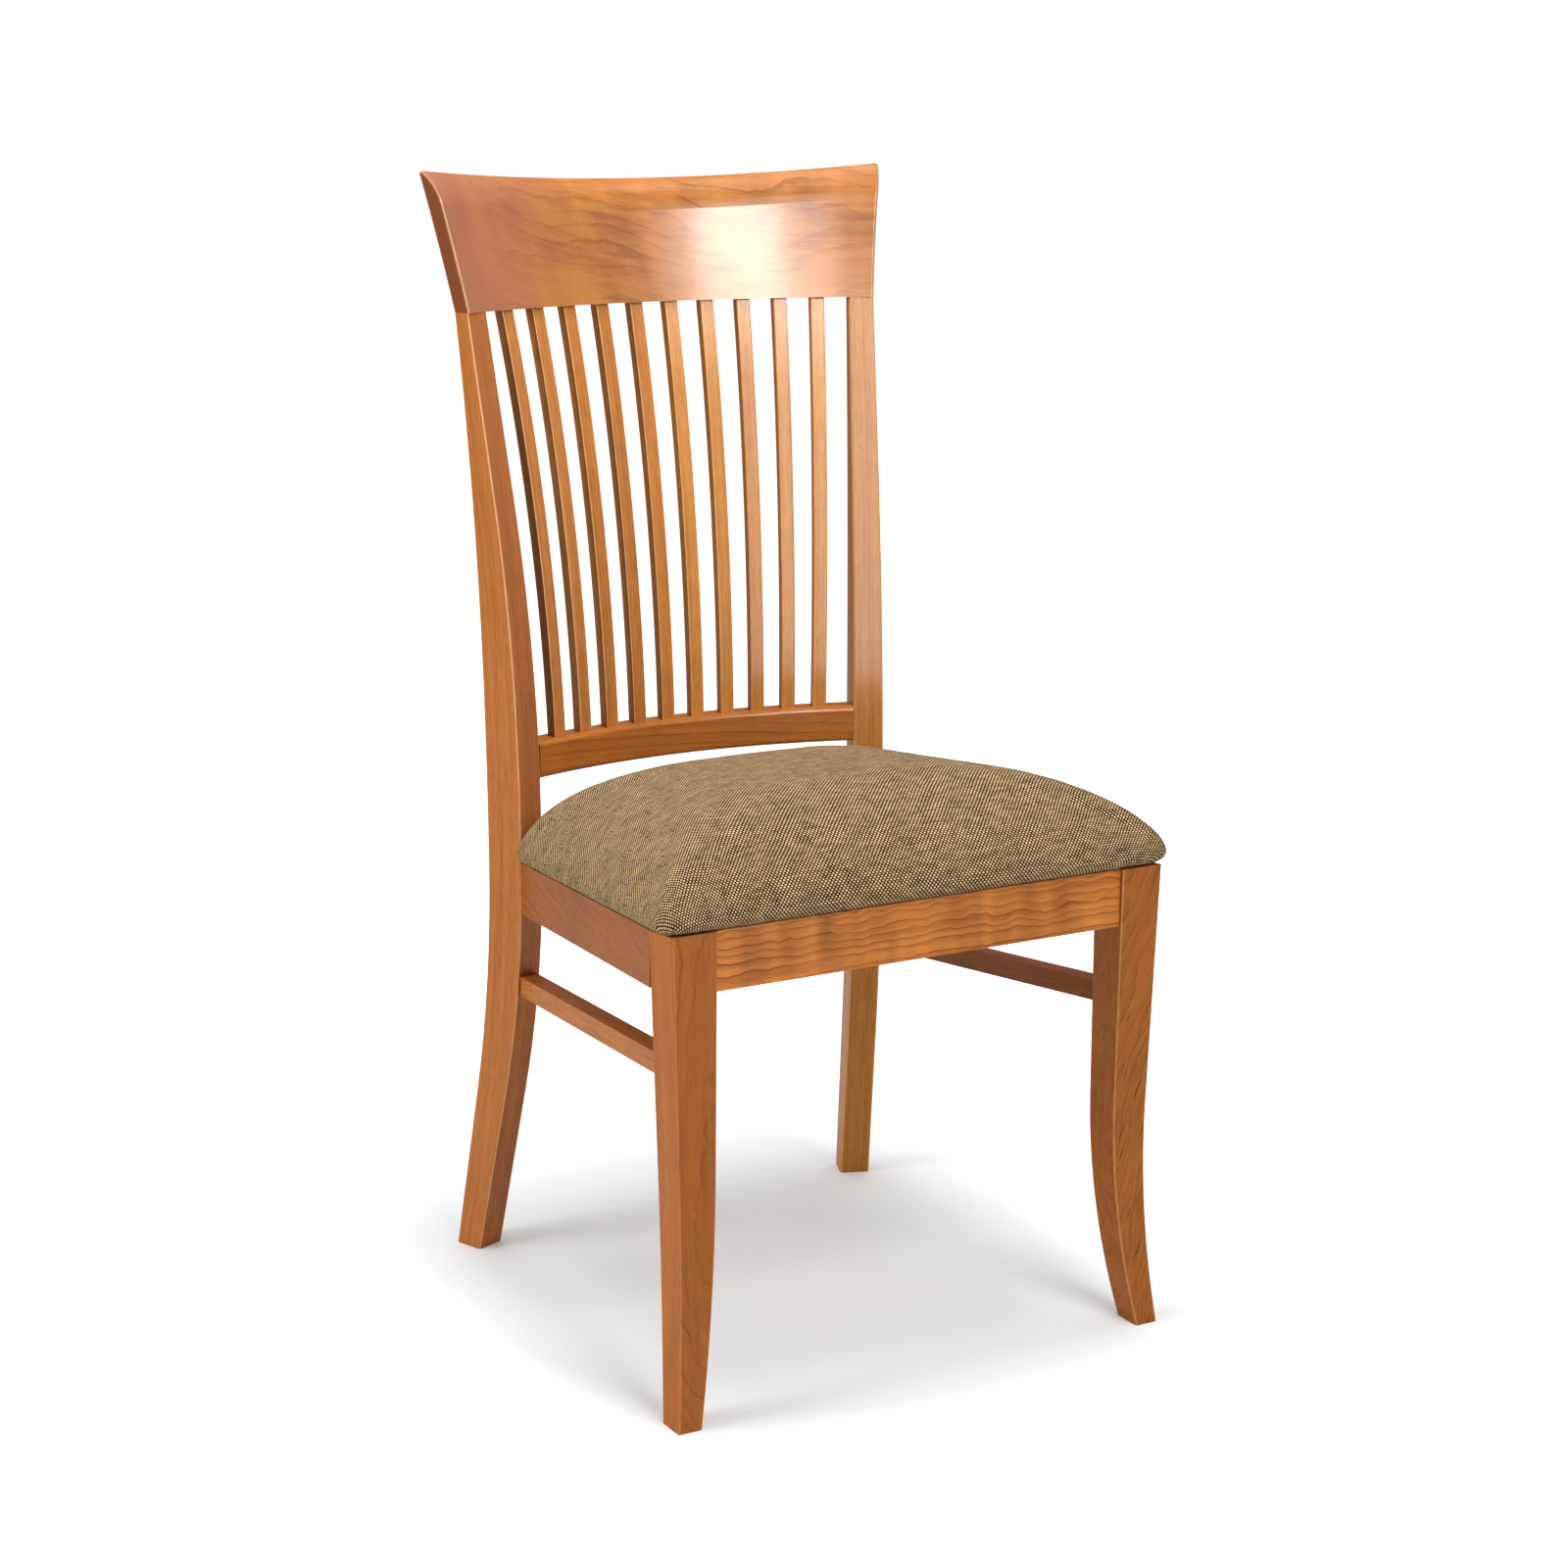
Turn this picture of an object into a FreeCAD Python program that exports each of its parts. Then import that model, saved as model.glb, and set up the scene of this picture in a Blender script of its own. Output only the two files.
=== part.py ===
import FreeCAD, Part
import math
import os

# Side chair with a bowed slatted back and a padded seat. Millimetres, +Z up,
# front towards -Y, the chair symmetric about the plane X = 0.
os.makedirs("parts", exist_ok=True)

V = FreeCAD.Vector

# Seat frame
seat_front_width = 494.0      # across the front legs at their tops
seat_back_width = 398.0       # across the outer front corners of the back posts
seat_depth = 401.7            # front of the front legs to those corners
seat_front_height = 435.0
seat_slope = 4.6              # degrees, lower at the back
apron_height = 50.0           # side and back
front_apron_height = 53.0
apron_thickness = 20.0
apron_setback = 4.5           # front apron behind the front of the legs
side_setback = 1.0            # side rails inside the outer face of the legs
back_apron_inset = 8.0        # back apron behind the inner front corner of the posts

# Front legs, tapered to the knee and swept out to the foot
leg_width = 42.5
leg_depth = 44.0
leg_knee_height = 215.0
leg_knee_taper_x = 6.3
leg_knee_taper_y = 5.2
foot_width = 23.0
foot_depth = 30.3
foot_kick_x = 2.5
foot_kick_y = 8.4
leg_edge = 2.0

# Back posts, each sawn to a curve in one plane and turned in to follow the back
post_turn = 21.0              # degrees
post_width = 30.0
post_top_width = 25.0
post_depth = 43.0
post_top_depth = 17.0
post_straight_low = 400.0     # between these heights the post is straight
post_straight_high = 440.0
post_front_radius = 1750.0
post_front_arc_end = 750.0
post_lean_back = 30.5         # travel of the back edge up to the crest rail
post_foot_sweep = 54.5        # travel of the back edge down to the floor
post_foot_depth = 31.0
post_foot_knee = 165.0
post_edge = 2.0

# Bowed back
back_radius = 515.0
crest_bottom = 911.4
crest_height = 126.2          # over the posts
crest_dip = 8.7               # from there down to the middle
crest_thickness = 19.0
crest_lean = 15.5             # degrees
crest_brow = 32.0             # height over which the front rolls back to the top edge
crest_flare = 13.9            # travel of the curve at each end, which is drawn on past the tip
crest_flare_height = 143.2
crest_flare_start = 0.05
crest_edge = 2.5
crest_stations = 13
rail_bottom = 478.0
rail_height = 35.0
rail_thickness = 25.0
rail_setback = 1.5
rail_edge = 4.5

# Slats
slat_count = 10
slat_width = 13.9
slat_thickness = 11.3
slat_pitch_low = 32.3
slat_pitch_top = 38.0
slat_bow_radius = 1900.0
slat_housing = 9.0
slat_edge = 1.2

# Stretchers
stretcher_size = 19.0
stretcher_height = 299.5      # underside at the front leg

# Joinery
tenon_thickness = 9.0
tenon_length = 14.0
tenon_shoulder = 7.0
joint_clearance = 0.15
joint_depth_clearance = 1.0

# Corner blocks and screws
block_reach = 80.0
block_thickness = 22.0
screw_shank = 4.0
screw_head = 8.0
screw_head_height = 2.5
screw_bite = 7.0              # into the seat base

# Padded seat
base_thickness = 10.0
base_inset = 7.0
pad_clearance = 0.3
pad_corner_radius = 14.0
pad_rear_gap = 1.5            # behind the pad, to the front of the posts
pad_bulge = 9.5               # sides swell out past the rails
pad_bulge_height = 10.0
pad_height = 94.0             # at the crown
pad_roll = 135.0              # from the outline in to the top of the crown
pad_corner_growth = 0.2       # corners grow rounder as the outline draws in
pad_side_steps = 3
pad_crown_steps = 10

SIDES = (("left", -1), ("right", 1))


def polygon_face(points):
    return Part.Face(Part.makePolygon(points + [points[0]]))


def mirrored(shape, side):
    if side > 0:
        return shape
    return shape.mirror(V(0, 0, 0), V(1, 0, 0))


def arc_mid(start, direction, end):
    """Middle of the arc that leaves start along direction and meets end, all as (a, b) pairs."""
    length = math.hypot(direction[0], direction[1])
    tx = direction[0] / length
    ty = direction[1] / length
    dx = end[0] - start[0]
    dy = end[1] - start[1]
    chord = math.hypot(dx, dy)
    turn = math.atan2(tx * dy - ty * dx, tx * dx + ty * dy)
    rise = chord / 2 * math.tan(turn / 2)
    return (start[0] + dx / 2 + dy / chord * rise, start[1] + dy / 2 - dx / chord * rise)


def largest(shape):
    return max(shape.Solids, key=lambda solid: solid.Volume)


def long_edges(solid, length, direction=None):
    found = []
    for edge in solid.Edges:
        if edge.Length < length:
            continue
        span = edge.lastVertex().Point - edge.firstVertex().Point
        if direction is not None and abs(span.dot(direction)) < 0.9 * edge.Length:
            continue
        found.append(edge)
    return found


# Seat plane: it passes the top front of the front legs and falls towards the back.
slope = math.radians(seat_slope)


def seat_z(y):
    return seat_front_height - math.tan(slope) * y


def on_seat(shape):
    shape.rotate(V(0, 0, 0), V(1, 0, 0), -seat_slope)
    shape.translate(V(0, 0, seat_front_height))
    return shape


# Front leg, right side. Each pair of faces is one profile, and the leg is where they meet.
leg_outer = seat_front_width / 2
leg_inner = leg_outer - leg_width


def leg_profile(width, taper, kick, foot):
    """Leg seen square to one face as (inward, height) edges, outer top corner at 0."""
    top = seat_front_height
    knee = (taper, leg_knee_height)
    toe = (-kick, 0.0)
    heel = (foot - kick, 0.0)
    bend = (width, leg_knee_height)
    sweep = arc_mid(knee, (taper, leg_knee_height - top), toe)
    back = arc_mid(bend, (0.0, -1.0), heel)
    return [("line", (0.0, top), knee), ("arc", knee, sweep, toe), ("line", toe, heel),
            ("arc", heel, back, bend), ("line", bend, (width, top)), ("line", (width, top), (0.0, top))]


def profile_face(edges, place):
    made = []
    for edge in edges:
        points = [place(p) for p in edge[1:]]
        if edge[0] == "line":
            made.append(Part.makeLine(points[0], points[1]))
        else:
            made.append(Part.Arc(points[0], points[1], points[2]).toShape())
    return Part.Face(Part.Wire(made))


def front_leg():
    reach = 4 * max(leg_width, leg_depth)
    from_front = profile_face(leg_profile(leg_width, leg_knee_taper_x, foot_kick_x, foot_width),
                              lambda p: V(leg_outer - p[0], -reach, p[1]))
    from_side = profile_face(leg_profile(leg_depth, leg_knee_taper_y, foot_kick_y, foot_depth),
                             lambda p: V(leg_outer - reach, p[0], p[1]))
    leg = from_front.extrude(V(0, 3 * reach, 0)).common(from_side.extrude(V(2 * reach, 0, 0)))
    leg = leg.makeFillet(leg_edge, long_edges(leg, leg_knee_height / 2, V(0, 0, 1)))
    return leg.cut(above_seat())


def above_seat():
    size = 2 * (seat_front_width + seat_depth)
    return on_seat(Part.makeBox(size, size, size, V(-size / 2, -size / 2, 0)))


# Back post, right side, in its own plane: "back" runs away from the sitter, "across" outwards.
turn = math.radians(post_turn)
across = V(math.cos(turn), -math.sin(turn), 0)
back = V(math.sin(turn), math.cos(turn), 0)
post_corner = V(seat_back_width / 2, seat_depth, 0)
post_centre = post_corner - across * (post_width / 2) + back * (post_depth / 2)


def post_point(u, b, z):
    return post_centre + across * u + back * b + V(0, 0, z)


front_low = (-post_depth / 2, post_straight_low)
front_high = (-post_depth / 2, post_straight_high)
front_rise = post_front_arc_end - post_straight_high
front_bend_b = front_high[0] + post_front_radius - math.sqrt(post_front_radius ** 2 - front_rise ** 2)
front_bend = (front_bend_b, post_front_arc_end)
rear_low = (post_depth / 2, post_straight_low)
rear_high = (post_depth / 2, post_straight_high)
rear_top = (post_depth / 2 + post_lean_back, crest_bottom)
front_top = (rear_top[0] - post_top_depth, crest_bottom)
rear_foot = (post_depth / 2 + post_foot_sweep, 0.0)
front_foot = (rear_foot[0] - post_foot_depth, 0.0)


def knee_on(start, foot):
    """Where a curve that leaves start straight down passes into the straight line to the foot."""
    drop = start[1]
    curve = start[1] - post_foot_knee
    travel = (foot[0] - start[0]) * (curve / 2) / (drop - curve / 2)
    return (start[0] + travel, post_foot_knee)


front_knee = knee_on(front_low, front_foot)
rear_knee = knee_on(rear_low, rear_foot)


def post_blank(grow=0.0):
    """Post as sawn, or with its front brought forward by grow to trim what meets it."""
    def place(p):
        return post_point(-post_width / 2, p[0], p[1])

    def moved(p):
        return (p[0] - grow, p[1])

    up = (0.0, 1.0)
    down = (0.0, -1.0)
    bend_mid = arc_mid(front_high, up, front_bend)
    face = profile_face([
        ("line", moved(front_low), moved(front_high)),
        ("arc", moved(front_high), moved(bend_mid), moved(front_bend)),
        ("line", moved(front_bend), moved(front_top)),
        ("line", moved(front_top), rear_top),
        ("arc", rear_top, arc_mid(rear_high, up, rear_top), rear_high),
        ("line", rear_high, rear_low),
        ("arc", rear_low, arc_mid(rear_low, down, rear_knee), rear_knee),
        ("line", rear_knee, rear_foot),
        ("line", rear_foot, moved(front_foot)),
        ("line", moved(front_foot), moved(front_knee)),
        ("arc", moved(front_knee), moved(arc_mid(front_low, down, front_knee)), moved(front_low)),
    ], place)
    return face.extrude(across * post_width)


def back_post():
    post = post_blank()
    taper_low = rail_bottom + rail_height + rail_edge
    trim = (post_width - post_top_width) / 2
    far = 2 * post_depth + post_lean_back
    for side in (-1, 1):
        wedge = polygon_face([post_point(side * post_width / 2, -far, taper_low),
                              post_point(side * (post_width / 2 - trim), -far, crest_bottom),
                              post_point(side * post_width, -far, crest_bottom),
                              post_point(side * post_width, -far, taper_low)])
        post = post.cut(wedge.extrude(back * (2 * far)))
    return post.makeFillet(post_edge, long_edges(post, post_depth, V(0, 0, 1)))


# Bowed back: one arc in plan, moved back with height. Its middle line stands over the post tops.
post_top = post_point(0, (front_top[0] + rear_top[0]) / 2, crest_bottom)
post_inner_front = post_point(-post_width / 2, -post_depth / 2, 0)
crest_middle = post_top.y + back_radius - math.sqrt(back_radius ** 2 - post_top.x ** 2)
rail_end = post_inner_front + back * rail_setback
rail_front = rail_end.y + back_radius - math.sqrt(back_radius ** 2 - rail_end.x ** 2)
rail_middle = rail_front + rail_thickness / 2


def bowed_band(middle, thickness, half_angle, z):
    """Flat face between two arcs about one centre, the arcs bowed away from the sitter."""
    def at(radius, angle):
        return V(radius * math.sin(angle), middle - back_radius + radius * math.cos(angle), z)

    inner = back_radius - thickness / 2
    outer = back_radius + thickness / 2
    front = Part.Arc(at(inner, -half_angle), at(inner, 0), at(inner, half_angle)).toShape()
    rear = Part.Arc(at(outer, half_angle), at(outer, 0), at(outer, -half_angle)).toShape()
    return Part.Face(Part.Wire([
        front, Part.makeLine(at(inner, half_angle), at(outer, half_angle)),
        rear, Part.makeLine(at(outer, -half_angle), at(inner, -half_angle))]))


def crest_top(x):
    """Height of the crest rail's top edge: an arc that dips in the middle."""
    radius = (post_top.x ** 2 + crest_dip ** 2) / (2 * crest_dip)
    return crest_bottom + crest_height - crest_dip + radius - math.sqrt(radius ** 2 - x ** 2)


def crest_section(angle):
    """Outline of the crest rail in a plane across its bow: leant back, the front rolled back to the top."""
    rise = V(0, math.tan(math.radians(crest_lean)), 1)
    out = V(math.sin(angle), math.cos(angle), 0)
    inner = back_radius - crest_thickness / 2
    top = crest_top((inner + crest_thickness) * out.x) - crest_bottom
    foot = V(0, crest_middle - back_radius, crest_bottom) + out * inner
    heel = foot + out * crest_thickness
    start = foot + rise * (top - crest_brow)
    end = heel + rise * top
    up = V(rise).normalize()
    into = (out - up * out.dot(up)).normalize()
    chord = end - start
    a, b = arc_mid((0, 0), (0, 1), (chord.dot(into), chord.dot(up)))
    brow = Part.Arc(start, start + into * a + up * b, end).toShape()
    return Part.Wire([Part.makeLine(foot, start), brow, Part.makeLine(end, heel), Part.makeLine(heel, foot)])


def crest_blank():
    """Crest rail: its section carried round the bow, with flared ends."""
    half_angle = math.asin(post_top.x / back_radius) + 3 * post_top_width / back_radius
    step = 2 * half_angle / (crest_stations - 1)
    sections = [crest_section(index * step - half_angle) for index in range(crest_stations)]
    crest = Part.makeLoft(sections, True, False)
    reach = 4 * post_top_width
    root = (post_top_width / 2, crest_bottom)
    tip = (root[0] + crest_flare, crest_bottom + crest_flare_height)
    flare = arc_mid(root, (crest_flare_start, 1.0), tip)
    end = profile_face([
        ("arc", root, flare, tip), ("line", tip, (root[0] + reach, tip[1])),
        ("line", (root[0] + reach, tip[1]), (root[0] + reach, root[1])),
        ("line", (root[0] + reach, root[1]), root)], lambda p: post_point(p[0], -reach, p[1]))
    cutter = end.extrude(back * (3 * reach))
    return largest(crest.cut(cutter).cut(mirrored(cutter, -1)))


def crest_rail():
    """Crest rail with its ends and top edge eased, mortised for the posts and the slats."""
    crest = crest_blank()
    ends = [e for e in crest.Edges if e.BoundBox.ZLength > crest_height / 2]
    high = [e for e in crest.Edges if e.BoundBox.XLength > post_top.x]
    crest = crest.makeFillet(crest_edge, ends + [max(high, key=lambda e: e.CenterOfMass.z)])
    for side in (1, -1):
        crest = crest.cut(mirrored(post_tenon(joint_clearance), side))
    for index in range(slat_count):
        crest = crest.cut(slat_stick(index, joint_clearance))
    return crest


def post_tenon(grow=0.0):
    """Stub tenon on top of the post, in line with its upper end."""
    depth = post_top_depth - tenon_shoulder + 2 * grow
    width = post_top_width - 2 * tenon_shoulder + 2 * grow
    centre = post_top - across * (width / 2) - back * (depth / 2)
    foot = polygon_face([centre, centre + across * width, centre + across * width + back * depth,
                         centre + back * depth])
    lean = math.tan(math.radians(crest_lean))
    length = tenon_length
    if grow > 0:
        length = tenon_length + joint_depth_clearance
    return foot.extrude(V(0, lean * length, length))


def lower_rail():
    half_angle = math.asin(post_centre.x / back_radius)
    band = bowed_band(rail_middle, rail_thickness, half_angle, rail_bottom)
    rail = band.extrude(V(0, 0, rail_height))
    front = back_radius - rail_thickness / 2
    eased = []
    for edge in rail.Edges:
        if hasattr(edge.Curve, "Radius") and abs(edge.Curve.Radius - front) < joint_clearance:
            eased.append(edge)
    rail = rail.makeFillet(rail_edge, eased)
    for side in (1, -1):
        rail = rail.cut(mirrored(post_side(), side))
        rail = rail.fuse(mirrored(rail_tenon(), side))
    rail = rail.removeSplitter()
    for index in range(slat_count):
        rail = rail.cut(slat_stick(index, joint_clearance))
    return rail


def post_side():
    """Everything outside the plane of the post's inner face."""
    size = 4 * post_depth
    face = polygon_face([post_point(-post_width / 2, -size, 0), post_point(-post_width / 2 + size, -size, 0),
                         post_point(-post_width / 2 + size, size, 0), post_point(-post_width / 2, size, 0)])
    return face.extrude(V(0, 0, crest_bottom))


def rail_tenon(grow=0.0):
    """Tenon of the lower rail, square to the post's inner face."""
    length = tenon_length
    if grow > 0:
        length = tenon_length + joint_depth_clearance
    mid = rail_setback + rail_thickness / 2 - post_depth / 2
    half = tenon_thickness / 2 + grow
    low = rail_bottom + tenon_shoulder - grow
    high = rail_bottom + rail_height - tenon_shoulder + grow
    start = -post_width / 2
    face = polygon_face([post_point(start, mid - half, low), post_point(start, mid + half, low),
                         post_point(start, mid + half, high), post_point(start, mid - half, high)])
    return face.extrude(across * length)


def on_bow(middle, arc, z):
    angle = arc / back_radius
    return V(back_radius * math.sin(angle), middle - back_radius * (1 - math.cos(angle)), z)


def slat_stick(index, grow=0.0):
    """One slat: a strip bowed in its own plane between the lower rail and the crest rail."""
    place = index - (slat_count - 1) / 2
    low = on_bow(rail_middle, slat_pitch_low * place, rail_bottom + rail_height)
    high = on_bow(crest_middle, slat_pitch_top * place, crest_bottom)
    chord = high - low
    length = chord.Length
    up = V(chord).normalize()
    angle = (slat_pitch_low + slat_pitch_top) / 2 * place / back_radius
    facing = V(math.sin(angle), math.cos(angle), 0)
    facing = (facing - up * facing.dot(up)).normalize()
    beside = up.cross(facing)
    centre = low + chord * 0.5 + facing * math.sqrt(slat_bow_radius ** 2 - (length / 2) ** 2)
    reach = length / 2 + slat_housing
    if grow > 0:
        reach = reach + joint_depth_clearance
    half = math.asin(reach / slat_bow_radius)
    outward = facing * -math.cos(half) - up * math.sin(half)
    near = slat_bow_radius - slat_thickness / 2 - grow
    far = slat_bow_radius + slat_thickness / 2 + grow
    wide = beside * (slat_width / 2 + grow)
    end = polygon_face([centre + outward * near - wide, centre + outward * far - wide,
                        centre + outward * far + wide, centre + outward * near + wide])
    stick = end.revolve(centre, beside, math.degrees(2 * half))
    if grow == 0:
        stick = stick.makeFillet(slat_edge, long_edges(stick, length / 2))
    return stick


# Side rails: a strip in plan met by a sloping strip in side view. Each runs from the back of the
# front leg to the outer front corner of the post.
leg_rear = leg_depth


class SideRail:
    def __init__(self, front_x, thickness, underside, height):
        self.front = V(front_x, leg_rear, 0)
        self.run = (post_corner - self.front).normalize()
        self.inward = V(-self.run.y, self.run.x, 0)
        self.thickness = thickness
        self.underside = underside
        self.height = height

    def inner_x(self, y):
        """Where the inner face stands at depth y."""
        start = self.front + self.inward * self.thickness
        return start.x + (y - start.y) * self.run.x / self.run.y

    def strip(self, outset, thickness, raised, height, past):
        """Part of the rail set in by outset and raised, running past both ends."""
        start = self.front - self.run * past + self.inward * outset
        stop = post_corner + self.run * past + self.inward * outset
        plan = polygon_face([start, stop, stop + self.inward * thickness, start + self.inward * thickness])
        plan = plan.extrude(V(0, 0, 2 * seat_front_height))
        x0 = -leg_outer
        ends = (-seat_depth, 2 * seat_depth)
        low = [self.underside + raised - math.tan(slope) * (y - leg_rear) for y in ends]
        side = polygon_face([V(x0, ends[0], low[0]), V(x0, ends[1], low[1]),
                             V(x0, ends[1], low[1] + height), V(x0, ends[0], low[0] + height)])
        return plan.common(side.extrude(V(4 * leg_outer, 0, 0)))

    def tenons(self, grow=0.0):
        """Tenons in the leg and in the post, or the space cut for them."""
        length = tenon_length
        if grow > 0:
            length = tenon_length + joint_depth_clearance
        thickness = min(tenon_thickness, self.thickness / 2)
        shoulder = min(tenon_shoulder, self.height / 4)
        strip = self.strip((self.thickness - thickness) / 2 - grow, thickness + 2 * grow,
                           shoulder - grow, self.height - 2 * shoulder + 2 * grow, length)
        size = 2 * seat_depth
        middle = Part.makeBox(2 * size, post_corner.y - leg_rear - tenon_length, size,
                              V(-size, leg_rear + tenon_length, 0))
        return strip.cut(middle).cut(behind_post(length - post_depth / 2))

    def solid(self):
        body = self.strip(0.0, self.thickness, 0.0, self.height, post_depth).cut(behind_leg())
        body = largest(body.cut(post_blank(joint_clearance).fuse(behind_post(0.0))))
        return body.fuse(self.tenons()).removeSplitter()


def behind_leg():
    size = 2 * seat_depth
    return Part.makeBox(2 * size, size, size, V(-size, leg_rear - size, 0))


def behind_post(b):
    """Everything more than b behind the middle plane of the post."""
    size = 4 * post_width
    face = polygon_face([post_point(-size, b, 0), post_point(size, b, 0),
                         post_point(size, b + size, 0), post_point(-size, b + size, 0)])
    return face.extrude(V(0, 0, crest_bottom))


def leg_face_x(z):
    """Outer face of the front leg above its knee."""
    return leg_outer - leg_knee_taper_x * (seat_front_height - z) / (seat_front_height - leg_knee_height)


stretcher_middle = (leg_face_x(stretcher_height) + leg_inner) / 2
apron_underside = seat_z(leg_rear) - apron_height
apron_rail = SideRail(leg_outer - side_setback, apron_thickness, apron_underside, apron_height)
stretcher_front = stretcher_middle + stretcher_size / 2
stretcher_rail = SideRail(stretcher_front, stretcher_size, stretcher_height, stretcher_size)


def front_tenons(grow=0.0):
    end = tenon_length
    if grow > 0:
        end = tenon_length + joint_depth_clearance
    low = seat_front_height - front_apron_height + tenon_shoulder - grow
    y0 = apron_setback + (apron_thickness - tenon_thickness) / 2 - grow
    half = leg_inner + end
    high = seat_z(apron_setback + apron_thickness) - tenon_shoulder + grow
    return Part.makeBox(2 * half, tenon_thickness + 2 * grow, high - low, V(-half, y0, low))


def front_apron():
    low = seat_front_height - front_apron_height
    board = Part.makeBox(2 * leg_inner, apron_thickness, front_apron_height,
                         V(-leg_inner, apron_setback, low))
    return board.cut(above_seat()).fuse(front_tenons()).removeSplitter()


back_apron_front = post_inner_front.y + back_apron_inset
back_apron_low = seat_z(back_apron_front) - apron_height


def back_tenons(grow=0.0):
    end = 0.0
    if grow > 0:
        end = joint_depth_clearance
    y0 = back_apron_front + (apron_thickness - tenon_thickness) / 2 - grow
    inner = post_inner_front.x + (y0 - post_inner_front.y) * math.tan(turn)
    half = inner + tenon_length + end
    low = back_apron_low + tenon_shoulder - grow
    high = seat_z(back_apron_front + apron_thickness) - tenon_shoulder + grow
    return Part.makeBox(2 * half, tenon_thickness + 2 * grow, high - low, V(-half, y0, low))


def back_apron():
    half = post_corner.x
    board = Part.makeBox(2 * half, apron_thickness, 2 * apron_height,
                         V(-half, back_apron_front, back_apron_low))
    board = board.cut(above_seat())
    for side in (1, -1):
        board = board.cut(mirrored(post_side(), side))
    return board.fuse(back_tenons()).removeSplitter()


# Corner blocks under the seat, cut to the rails they are glued between.
def block_slab(points):
    plan = polygon_face(points).extrude(V(0, 0, 2 * seat_front_height))
    layer = Part.makeBox(4 * seat_front_width, 4 * seat_depth, block_thickness,
                         V(-2 * seat_front_width, -seat_depth, -block_thickness))
    return plan.common(on_seat(layer))


front_block_y = apron_setback + apron_thickness
front_block_end = leg_rear + block_reach / 2
rear_block_y = back_apron_front
rear_block_x = post_inner_front.x + (rear_block_y - post_inner_front.y) * math.tan(turn)
rear_block_end = rear_block_y - block_reach


def front_block():
    return block_slab([V(leg_inner - block_reach / 2, front_block_y, 0), V(leg_inner, front_block_y, 0),
                       V(leg_inner, leg_rear, 0), V(apron_rail.inner_x(leg_rear), leg_rear, 0),
                       V(apron_rail.inner_x(front_block_end), front_block_end, 0)])


def rear_block():
    slab = block_slab([V(rear_block_x - block_reach, rear_block_y, 0),
                       V(apron_rail.inner_x(rear_block_y), rear_block_y, 0),
                       V(apron_rail.inner_x(rear_block_end), rear_block_end, 0)])
    return largest(slab.cut(post_blank(joint_clearance).fuse(behind_post(0.0))))


def screw(grow=0.0):
    """Screw with its head at the origin and its point up +Z."""
    shank = Part.makeCylinder(screw_shank / 2 + grow, block_thickness + screw_bite, V(0, 0, 0))
    head = Part.makeCylinder(screw_head / 2 + grow, screw_head_height, V(0, 0, -screw_head_height))
    return shank.fuse(head).removeSplitter()


front_screw_at = V(leg_inner - 0.18 * block_reach, front_block_y + 0.17 * block_reach, 0)
rear_screw_at = V(rear_block_x - 0.35 * block_reach, rear_block_y - 0.25 * block_reach, 0)


def seat_screw(at, grow=0.0):
    """Screw up through a corner block into the seat base, square to the seat."""
    made = screw(grow)
    made.translate(V(at.x, at.y / math.cos(slope), -block_thickness))
    return on_seat(made)


# Padded seat, made flat on the seat plane and then tilted with it.
pad_front = apron_setback - side_setback
rear_arc_front = post_inner_front - back * pad_rear_gap
pad_rear = rear_arc_front.y + back_radius - math.sqrt(back_radius ** 2 - rear_arc_front.x ** 2)
stretch = 1 / math.cos(slope)


def seat_outline(inset, rear_inset, corner, z):
    """Outline of the seat drawn in by inset: three straight sides and a bowed rear, corners rounded."""
    front = pad_front + inset
    edge = apron_rail.front + apron_rail.inward * inset
    tilt = apron_rail.run.x / apron_rail.run.y
    rear_radius = back_radius - rear_inset
    centre_y = pad_rear - back_radius

    def side_x(y):
        return edge.x + (y - edge.y) * tilt

    lean = math.atan(tilt)
    run = corner * math.tan((math.pi / 2 + lean) / 2)
    front_corner = side_x(front)
    a = (front_corner - run, front)
    b = (front_corner + math.sin(lean) * run, front + math.cos(lean) * run)
    rear_x = side_x(post_corner.y) - 0.55 * corner
    rear_y = centre_y + math.sqrt(rear_radius ** 2 - rear_x ** 2)
    c_y = rear_y - 0.75 * corner
    c = (side_x(c_y), c_y)
    d = (rear_x, rear_y)
    ab = arc_mid(a, (1.0, 0.0), b)
    cd = arc_mid(c, (math.sin(lean), math.cos(lean)), d)

    def at(p, side):
        return V(side * p[0], p[1] * stretch, z)

    return Part.Wire([
        Part.makeLine(at(a, -1), at(a, 1)),
        Part.Arc(at(a, 1), at(ab, 1), at(b, 1)).toShape(),
        Part.makeLine(at(b, 1), at(c, 1)),
        Part.Arc(at(c, 1), at(cd, 1), at(d, 1)).toShape(),
        Part.Arc(at(d, 1), V(0, (centre_y + rear_radius) * stretch, z), at(d, -1)).toShape(),
        Part.Arc(at(d, -1), at(cd, -1), at(c, -1)).toShape(),
        Part.makeLine(at(c, -1), at(b, -1)),
        Part.Arc(at(b, -1), at(ab, -1), at(a, -1)).toShape()])


def seat_board(grow=0.0):
    inset = base_inset - grow
    outline = seat_outline(inset, inset, pad_corner_radius - inset / 2, 0.0)
    return Part.Face(outline).extrude(V(0, 0, base_thickness + grow))


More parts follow.
